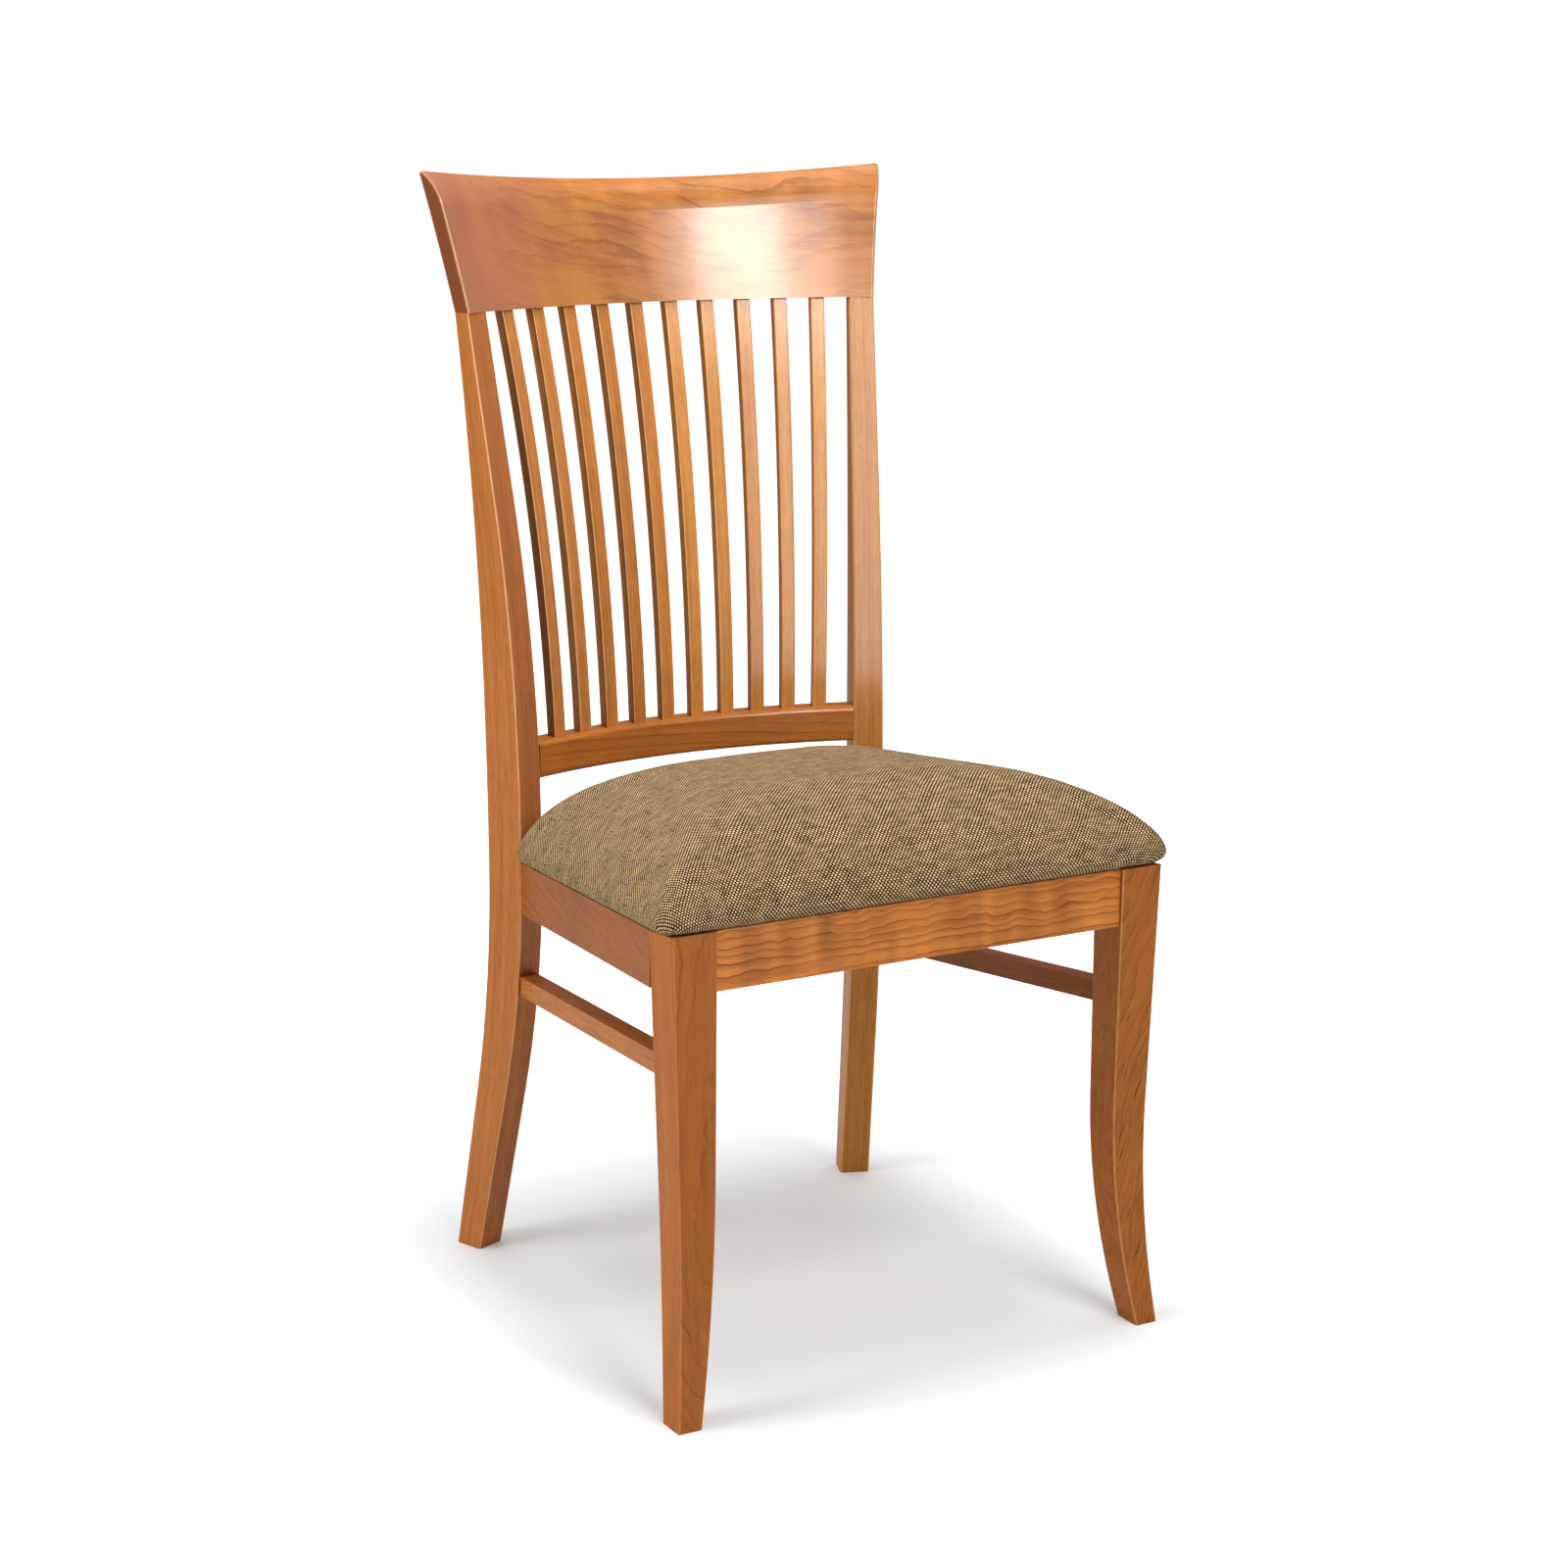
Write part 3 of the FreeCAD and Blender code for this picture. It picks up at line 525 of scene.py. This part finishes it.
class CHAIR_OT_seat_rails(Operator):
    """Finish the rails round the seat and the side stretchers"""
    bl_idname = "chair.seat_rails"
    bl_label = "Seat rails and stretchers"

    def execute(self, context):
        dress("front_apron", cherry("Cherry front rail", Board(
            "wide", (0.335, -0.21), tone=1.16, ring=0.0062, lines=1.25, wobble=2.2, wave=3.0, figure=1.1,
            clouds=0.7, flecks=0.35, seed=12.0)))
        dress("back_apron", cherry("Cherry back rail", Board("wide", (0.22, 0.10), lines=0.6, seed=14.0)))
        for index, side in enumerate(SIDES):
            flip = 2 * index - 1
            # Painted shade: the low tone draws the side rails darker than the front rail, as they lie in
            # shade.
            dress("side_apron_" + side, cherry("Cherry side rail " + side, Board(
                "deep", (0.25, flip * 0.25), tone=0.74, tint=(1.0, 0.83, 0.3), ring=0.0050, lines=0.9,
                wobble=0.8, wave=0.5, tilt=-0.22, figure=0.2, clouds=0.5, flecks=0.15,
                seed=17.0 + 3 * index)))
            # Painted light and shade: the right stretcher is drawn lighter on top and darker on its sides, as
            # the lamps and the seat's shadow fall on it.
            shade = 1.0 - 0.65 * index
            dress("side_stretcher_" + side, cherry("Cherry stretcher " + side, Board(
                "deep", (0.24, flip * 0.26), tone=0.95 + 0.5 * index, ring=0.0040, lines=0.4, wobble=0.4,
                tilt=0.08, figure=0.2, clouds=0.3, flecks=0.15, seed=23.0 + 3 * index,
                sides=(shade, shade, shade))))
        return {"FINISHED"}


class CHAIR_OT_bowed_rails(Operator):
    """Finish the crest rail and the lower back rail, whose grain follows the bow"""
    bl_idname = "chair.bowed_rails"
    bl_label = "Bowed back rails"

    radius: FloatProperty(
        name="Bow", description="Radius of the bowed back", unit="LENGTH", default=BACK_RADIUS)
    crest_inset: FloatProperty(
        name="Crest rail inset", description="From the rear of the crest rail in to the bow", unit="LENGTH",
        default=0.02)
    rail_inset: FloatProperty(
        name="Lower rail inset", description="From the rear of the lower rail in to the bow", unit="LENGTH",
        default=0.0125)

    def execute(self, context):
        crest_low, crest_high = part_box("crest_rail")
        rail_low, rail_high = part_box("lower_back_rail")
        crest_centre = crest_high[1] - self.crest_inset - self.radius
        rail_centre = rail_high[1] - self.rail_inset - self.radius
        dress("crest_rail", cherry("Cherry crest rail", Board(
            "bowed", (crest_low[2] - 0.30, 0.06), tone=1.05, tint=(1.0, 1.14, 1.75), ring=0.0150, lines=0.45,
            wobble=4.2, wave=1.3, tilt=0.16, arch=-0.4, figure=0.35, clouds=1.9, flecks=0.2, seed=31.0,
            rubbed_and_highlit=0.35, heartwood=(-0.07, -0.22), bow=(crest_centre, self.radius))))
        dress("lower_back_rail", cherry("Cherry lower back rail", Board(
            "bowed", (rail_low[2] - 0.06, 0.05), tone=1.05, ring=0.0060, lines=0.55, wobble=0.6, tilt=0.06,
            figure=0.2, flecks=0.2, seed=33.0, bow=(rail_centre, self.radius))))
        return {"FINISHED"}


class CHAIR_OT_slats(Operator):
    """Finish the slats, each cut from its own place in the board"""
    bl_idname = "chair.slats"
    bl_label = "Back slats"

    bow: FloatProperty(
        name="Bow", description="Radius of the bowed back", unit="LENGTH", default=BACK_RADIUS)
    # How light each slat is, from the left, and how far it leans to gold. Beside the boards' own colour, the
    # lightness and the blue in the tint are partly painted light and painted sheen.
    tones = (1.22, 1.30, 1.24, 1.16, 1.28, 1.50, 1.40, 1.24, 1.26, 1.30)
    golden = (0.6, 0.8, 0.2, 0.1, 0.2, 1.0, 0.7, 0.2, 0.5, 0.6)

    def execute(self, context):
        for index, node in enumerate(SLATS):
            low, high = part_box(node)
            middle = (low[0] + high[0]) / 2
            gold = self.golden[index]
            # Painted shade: each slat's sides are drawn darker than its front, darkest at the left, where the
            # neighbouring slats shade them.
            shade = 0.45 + 0.05 * index
            dress(node, cherry("Cherry slat %02d" % (index + 1), Board(
                "upright", (0.05, 0.05 - 0.04 * (index % 3)), tone=self.tones[index],
                tint=(1.0, 1.08 + 0.14 * gold, 1.7 - 0.14 * index + 0.3 * gold), ring=0.0030, lines=0.4,
                wobble=0.2, wave=0.2, figure=0.25, clouds=0.35, flecks=0.25, seed=40.0 + 2.3 * index,
                turn=-math.asin(middle / self.bow), sides=(shade, shade, shade), run=middle_run(node))))
        return {"FINISHED"}


class CHAIR_OT_seat_structure(Operator):
    """Finish the board, blocks and screws under the seat"""
    bl_idname = "chair.seat_structure"
    bl_label = "Under the seat"

    def execute(self, context):
        block = plain_wood("Poplar block", (0.47, 0.33, 0.17), "wide")
        for where in ("front", "rear"):
            for side in SIDES:
                dress("corner_block_%s_%s" % (where, side), block)
        dress("seat_base", plain_wood("Birch plywood", (0.55, 0.39, 0.21), "wide", layers=0.0016))
        dress("seat_screws", screw_steel("Zinc screw"))
        return {"FINISHED"}


# Padded seat

SAME_PLACE = 1e-5       # metres within which points count as one
SHORT_EDGE = 2e-4       # metres under which an edge is taken out
END_BAND = 0.06         # metres at each end of the seat over which its width is taken
CORNER_TURN = 6.0       # how late the cloth's spread swings round a corner
PROFILE_STEPS = 120     # heights at which the front's profile is measured
PROFILE_MARGIN = 0.0005  # metres left out at the crown and at the underside


def only(obj):
    """Selects obj alone and makes it active."""
    bpy.ops.object.select_all(action="DESELECT")
    obj.select_set(True)
    bpy.context.view_layer.objects.active = obj


def merge(obj):
    """Joins points that lie in one place and takes out very short edges and faces with no area."""
    only(obj)
    bpy.ops.object.mode_set(mode="EDIT")
    bpy.ops.mesh.select_all(action="SELECT")
    bpy.ops.mesh.remove_doubles(threshold=SAME_PLACE)
    bpy.ops.mesh.dissolve_degenerate(threshold=SHORT_EDGE)
    bpy.ops.object.mode_set(mode="OBJECT")


def copy_of(node, name):
    """A new object with its own copy of a solid's mesh, its corners merged."""
    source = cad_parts[node]
    made = bpy.data.objects.new(name, source.data.copy())
    bpy.context.scene.collection.objects.link(made)
    merge(made)
    return made


def modify(obj, kind, **settings):
    """Adds a modifier to obj and applies it."""
    only(obj)
    modifier = obj.modifiers.new(kind.title(), kind)
    for key, value in settings.items():
        setattr(modifier, key, value)
    bpy.ops.object.modifier_apply(modifier=modifier.name)


def board_space(name, grow):
    """The room that the seat board takes, without its screw holes and larger by about grow all round."""
    made = copy_of("seat_base", name)
    bpy.ops.object.mode_set(mode="EDIT")
    bpy.ops.mesh.select_all(action="SELECT")
    bpy.ops.mesh.convex_hull()
    bpy.ops.object.mode_set(mode="OBJECT")
    modify(made, "DISPLACE", strength=grow, mid_level=0.0)
    return made


def points_of(obj):
    """The places of the mesh's points, one row each."""
    flat = np.empty(3 * len(obj.data.vertices))
    obj.data.vertices.foreach_get("co", flat)
    return flat.reshape(-1, 3)


def place_points(obj, points):
    """Moves the mesh's points to the rows of points."""
    obj.data.vertices.foreach_set("co", points.ravel())
    obj.data.update()


def shrink(obj, amount):
    """Moves each point in along its normal by its own amount."""
    normals = np.empty(3 * len(obj.data.vertices))
    obj.data.vertex_normals.foreach_get("vector", normals)
    place_points(obj, points_of(obj) - normals.reshape(-1, 3) * amount[:, None])


def fill_with_foam(obj, held, seat):
    """Blows the cover up with Cloth, held where it is tacked, and keeps each point within its give."""
    rest = points_of(obj)
    group = obj.vertex_groups.new(name="tacked")
    group.add([int(i) for i in np.flatnonzero(held)], 1.0, "REPLACE")
    only(obj)
    cloth = obj.modifiers.new("Cloth", "CLOTH")
    cloth.settings.quality = 5
    cloth.settings.mass = 0.3
    cloth.settings.use_pressure = True
    cloth.settings.uniform_pressure_force = seat.pressure
    cloth.settings.tension_stiffness = 25.0
    cloth.settings.compression_stiffness = 25.0
    cloth.settings.bending_stiffness = 2.0
    cloth.settings.effector_weights.gravity = 0.0
    cloth.settings.vertex_group_mass = "tacked"
    cloth.point_cache.frame_start = 1
    cloth.point_cache.frame_end = seat.frames
    for step in range(1, seat.frames + 1):
        bpy.context.scene.frame_set(step)
    bpy.ops.object.modifier_apply(modifier=cloth.name)
    bpy.context.scene.frame_set(1)
    moved = points_of(obj) - rest
    length = np.linalg.norm(moved, axis=1, keepdims=True)
    place_points(obj, rest + moved * np.minimum(1.0, seat.give / np.maximum(length, TINY)))
    obj.vertex_groups.clear()


def level(points, seat, height):
    """Points turned so that the seat's plane lies flat at zero."""
    sin = math.sin(seat.slope)
    cos = math.cos(seat.slope)
    z = points[:, 2] - height
    return np.stack([points[:, 0], points[:, 1] * cos - z * sin, points[:, 1] * sin + z * cos], axis=1)


def lift(obj, seat, amount):
    """Moves each point square to the seat's plane by its own amount."""
    up = np.array((0.0, math.sin(seat.slope), math.cos(seat.slope)))
    place_points(obj, points_of(obj) + up * amount[:, None])


def outward(points):
    """Direction straight out over each edge of the seat, which swings round gradually towards the corners."""
    low = points.min(axis=0)
    high = points.max(axis=0)
    deep = (2.0 * points[:, 1] - low[1] - high[1]) / (high[1] - low[1])
    ends = [np.abs(points[np.abs(points[:, 1] - y) < END_BAND, 0]).max() for y in (low[1], high[1])]
    wide = points[:, 0] / np.interp(deep, (-1.0, 1.0), ends)
    share = np.stack([wide, deep], axis=1)
    push = np.sign(share) * np.abs(share) ** CORNER_TURN
    return push / np.maximum(np.linalg.norm(push, axis=1, keepdims=True), TINY)


def front_profile(tree, low, high):
    """Heights from the crown down, and how far forward the pad's front lies at each, on its middle line."""
    heights = np.linspace(high[2] - PROFILE_MARGIN, low[2] + PROFILE_MARGIN, PROFILE_STEPS)
    back = Vector((0.0, 1.0, 0.0))
    front = [tree.ray_cast(Vector((0.0, low[1] - 1.0, height)), back)[0].y for height in heights]
    return heights, np.array(front)


def weave_map(obj, seat, height):
    """UV map that carries the cloth's threads over the crown and down the sides, in metres of cloth.

    Threads lie square on the crown. Further down, each point moves out from the middle by the length of
    cloth that the side takes up, so the threads run straight down the sides and fan round the corners."""
    points = level(points_of(obj), seat, height)
    faces = [tuple(face.vertices) for face in obj.data.polygons]
    tree = BVHTree.FromPolygons([Vector(p) for p in points], faces)
    heights, front = front_profile(tree, points.min(axis=0), points.max(axis=0))
    cloth = np.concatenate([[0.0], np.cumsum(np.hypot(np.diff(front), np.diff(heights)))])
    extra = cloth - (front[0] - front)
    spread = np.interp(-points[:, 2], -heights, extra)
    flat = points[:, :2] + outward(points) * spread[:, None]
    layer = obj.data.uv_layers.new(name="weave")
    corners = np.empty(len(obj.data.loops), dtype=np.int32)
    obj.data.loops.foreach_get("vertex_index", corners)
    layer.data.foreach_set("uv", flat[corners].astype(np.float32).ravel())


def basket_weave(name):
    """Plain weave: full pale yarn from side to side over finer dark yarn from front to back, with slubs.

    Each yarn rises over one neighbour and dives under the next. The higher one shows."""
    bends = 22.0        # how often a yarn bends, per metre
    stray = 0.9         # how far it strays there, in yarn widths
    climb = 0.6         # how far it rises and dives, beside its own thickness
    seat = bpy.context.scene.chair_seat
    material, start, shader = new_material(name)
    u, v = start.node("ShaderNodeUVMap", uv_map="weave").split()[:2]
    bend_u = start.noise(start.join(u * bends, v * bends, 0.0), detail=1.0)
    bend_v = start.noise(start.join(u * bends, v * bends, 5.0), detail=1.0)
    warp = u / seat.warp + (bend_u - 0.5) * stray
    weft = v / seat.weft + (bend_v - 0.5) * stray
    warp_at = start.maths("FLOOR", warp)
    weft_at = start.maths("FLOOR", weft)
    slub_warp = start.noise(start.join(warp_at * 7.3, v * 55.0, 0.0), detail=1.0)
    slub_weft = start.noise(start.join(u * 75.0, weft_at * 7.3, 9.0), detail=1.0)
    pale_thick = slub_weft.between(0.75, 1.45)
    dark_thick = slub_warp.between(0.7, 1.2) + slub_warp.step(0.54, 0.70)
    pale_rise = start.maths("COSINE", (warp + weft_at - 0.5) * math.pi) * climb
    dark_rise = start.maths("COSINE", (weft + warp_at + 0.5) * math.pi) * climb
    pale_height = pale_rise + start.maths("SINE", (weft - weft_at) * math.pi) * pale_thick
    dark_height = dark_rise + start.maths("SINE", (warp - warp_at) * math.pi) * dark_thick
    height = start.maths("MAXIMUM", pale_height, dark_height)
    pale_thin = [share * 0.72 for share in seat.pale]
    pale_full = [share * 1.1 for share in seat.pale]
    dark_thin = [share * 2.2 for share in seat.dark]
    pale = start.mix(slub_weft.step(0.25, 0.75), pale_thin, pale_full)
    dark = start.mix(slub_warp.step(0.3, 0.8), dark_thin, seat.dark)
    top = start.mix((pale_height - dark_height).step(-0.15, 0.15), dark, pale)
    hair = start.noise(start.join(u * 2600.0, v * 2600.0, 0.0), detail=2.0)
    # Painted shade: each yarn is drawn darker where it lies low, in the hollows between the crowns.
    light = height.step(0.3, 1.6).between(0.0, 1.12) * hair.between(0.8, 1.2)
    relief = height * 0.5 + hair * 0.15
    feed(shader, "Base Color", start.mix(1.0, top, light.grey(), blend="MULTIPLY"))
    feed(shader, "Normal", relief.bump(0.5, 0.0007))
    feed(shader, "Roughness", 0.86 + (hair - 0.5) * 0.1)
    shader.inputs["Specular IOR Level"].default_value = 0.0
    return material


class CHAIR_OT_seat_pad(Operator):
    """Fill the padded seat and cover it with woven cloth"""
    bl_idname = "chair.seat_pad"
    bl_label = "Padded seat"

    def execute(self, context):
        seat = context.scene.chair_seat
        leg_low, leg_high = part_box("front_leg_left")
        height = leg_high[2] + leg_low[1] * math.tan(seat.slope)
        pad = copy_of("seat_pad", "seat_cushion")
        board = board_space("seat_board_space", 3 * seat.clearance)
        only(pad)
        board.select_set(True)
        bpy.ops.object.join()
        modify(pad, "REMESH", mode="VOXEL", voxel_size=seat.voxel, use_smooth_shade=True)
        above = level(points_of(pad), seat, height)[:, 2] - seat.tacked
        shrink(pad, seat.give * np.clip(above / seat.ease, 0.0, 1.0))
        fill_with_foam(pad, above < 0.0, seat)
        modify(pad, "SMOOTH", factor=0.5, iterations=4)
        modify(pad, "SUBSURF", levels=1, render_levels=1)
        lowest = level(points_of(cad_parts["seat_pad"]), seat, height)[:, 2].min() + seat.clearance
        lift(pad, seat, np.maximum(lowest - level(points_of(pad), seat, height)[:, 2], 0.0))
        pocket = board_space("seat_board_pocket", 2 * seat.clearance)
        above = level(points_of(pocket), seat, height)[:, 2]
        lift(pocket, seat, np.where(above < above.mean(), -seat.voxel, 0.0))
        modify(pad, "BOOLEAN", object=pocket, operation="DIFFERENCE", solver="EXACT")
        bpy.data.objects.remove(pocket)
        modify(pad, "TRIANGULATE", ngon_method="BEAUTY", min_vertices=5)
        merge(pad)
        weave_map(pad, seat, height)
        bpy.ops.object.shade_smooth()
        pad.data.materials.clear()
        pad.data.materials.append(basket_weave("Basket weave cover"))
        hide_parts("seat_pad")
        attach(pad, "root")
        return {"FINISHED"}


# Stage

def lamp(name, place, aim, size, power, lights=True, shines=True):
    """A soft rectangular lamp. It lights what it falls on, shines in the finish, or both."""
    data = bpy.data.lights.new(name, "AREA")
    data.shape = "RECTANGLE"
    data.size, data.size_y = size
    data.energy = power
    made = bpy.data.objects.new(name, data)
    made.location = place
    made.rotation_euler = (Vector(aim) - Vector(place)).to_track_quat("-Z", "Y").to_euler()
    made.visible_diffuse = lights
    made.visible_glossy = shines
    bpy.context.scene.collection.objects.link(made)


def floor_paint(stage):
    """Pale matt floor that keeps the chair's shadow between its feet and runs out to white for the camera."""
    half_width = 0.22       # of the patch that stays dark under the chair
    half_depth = 0.23
    middle = -0.02          # of that patch, from front to back
    material, start, shader = new_material("Studio floor")
    shader.inputs["Base Color"].default_value = (*stage.floor_colour, 1.0)
    shader.inputs["Roughness"].default_value = 0.9
    shader.inputs["Specular IOR Level"].default_value = 0.0
    x, y = start.node("ShaderNodeTexCoord", out="Object").split()[:2]
    beside = start.maths("MAXIMUM", start.maths("ABSOLUTE", x) - half_width, 0.0)
    before = start.maths("MAXIMUM", start.maths("ABSOLUTE", y - middle) - half_depth, 0.0)
    away = start.maths("SQRT", beside * beside + before * before)
    glow = away.step(0.0, 0.22) * 0.20 + away.step(0.2, 1.3) * 0.6 + stage.floor_glow
    glow = glow * start.node("ShaderNodeLightPath", out="Is Camera Ray")
    feed(shader, "Emission Color", glow.grey())
    shader.inputs["Emission Strength"].default_value = 1.0
    return material


class CHAIR_OT_stage(Operator):
    """Set the floor, the lamps and the camera"""
    bl_idname = "chair.stage"
    bl_label = "Studio"

    def execute(self, context):
        scene = context.scene
        stage = scene.chair_stage
        scene.view_settings.view_transform = "Standard"
        bpy.ops.object.select_all(action="DESELECT")
        bpy.ops.mesh.primitive_plane_add(size=stage.floor_size, location=(0.0, 0.0, 0.0))
        floor = context.object
        floor.name = "studio_floor"
        floor.data.materials.append(floor_paint(stage))
        self.light(scene, stage)
        data = bpy.data.cameras.new("Camera")
        data.lens = stage.lens
        data.sensor_width = 36.0
        data.clip_end = 100.0
        camera = bpy.data.objects.new("Camera", data)
        camera.location = stage.camera_place
        camera.rotation_euler = stage.camera_turn
        scene.collection.objects.link(camera)
        scene.camera = camera
        return {"FINISHED"}

    def light(self, scene, stage):
        """White all round for the camera, a weaker sky for the chair, and the lamps."""
        world = bpy.data.worlds.new("Studio")
        world.use_nodes = True
        background = world.node_tree.nodes["Background"]
        background.inputs["Color"].default_value = (1.0, 1.0, 1.0, 1.0)
        seen = Wire(world.node_tree).node("ShaderNodeLightPath", out="Is Camera Ray")
        feed(background, "Strength", seen.between(stage.sky, 1.0))
        scene.world = world
        back = (0.0, 0.2, 0.9)
        seat = (0.0, 0.0, 0.45)
        lamp("Key", (0.15, -2.3, 2.5), (0.0, 0.1, 0.6), (1.2, 1.2), 46.0)
        lamp("Left", (-2.6, 0.3, 1.3), seat, (1.2, 1.4), 37.0, shines=False)
        lamp("Overhead", (0.1, 0.1, 3.0), (0.0, 0.0, 0.0), (1.8, 1.8), 55.0)
        lamp("Crest glare", (0.46, -2.0, 2.12), back, (0.72, 0.34), 66.0, lights=False)
        lamp("Glare edge", (0.42, -2.1, 1.95), back, (1.4, 0.6), 66.0, lights=False)
        lamp("Front haze", (-0.05, -2.2, 1.02), back, (1.3, 2.0), 140.0, lights=False)


# Panel and registration

OPERATORS = (
    CHAIR_OT_front_legs, CHAIR_OT_back_posts, CHAIR_OT_seat_rails, CHAIR_OT_bowed_rails, CHAIR_OT_slats,
    CHAIR_OT_seat_structure, CHAIR_OT_seat_pad, CHAIR_OT_stage)
SETTINGS = (("chair_wood", WoodSettings), ("chair_seat", SeatSettings), ("chair_stage", StageSettings))


class CHAIR_PT_tools(Panel):
    """Lists the steps that dress the chair and the values they use"""
    bl_idname = "CHAIR_PT_tools"
    bl_label = "Slat-back chair"
    bl_space_type = "VIEW_3D"
    bl_region_type = "UI"
    bl_category = "Chair"

    def draw(self, context):
        for operator in OPERATORS:
            self.layout.operator(operator.bl_idname)
        for name, group in SETTINGS:
            box = self.layout.box()
            for key in group.__annotations__:
                box.prop(getattr(context.scene, name), key)


def register():
    for name, group in SETTINGS:
        bpy.utils.register_class(group)
        setattr(bpy.types.Scene, name, PointerProperty(type=group))
    for cls in (*OPERATORS, CHAIR_PT_tools):
        bpy.utils.register_class(cls)


def unregister():
    for cls in (CHAIR_PT_tools, *reversed(OPERATORS)):
        bpy.utils.unregister_class(cls)
    for name, group in reversed(SETTINGS):
        delattr(bpy.types.Scene, name)
        bpy.utils.unregister_class(group)


def main():
    register()
    bpy.ops.chair.front_legs()
    bpy.ops.chair.back_posts()
    bpy.ops.chair.seat_rails()
    bpy.ops.chair.bowed_rails()
    bpy.ops.chair.slats()
    bpy.ops.chair.seat_structure()
    bpy.ops.chair.seat_pad()
    bpy.ops.chair.stage()


if __name__ == "__main__":
    main()
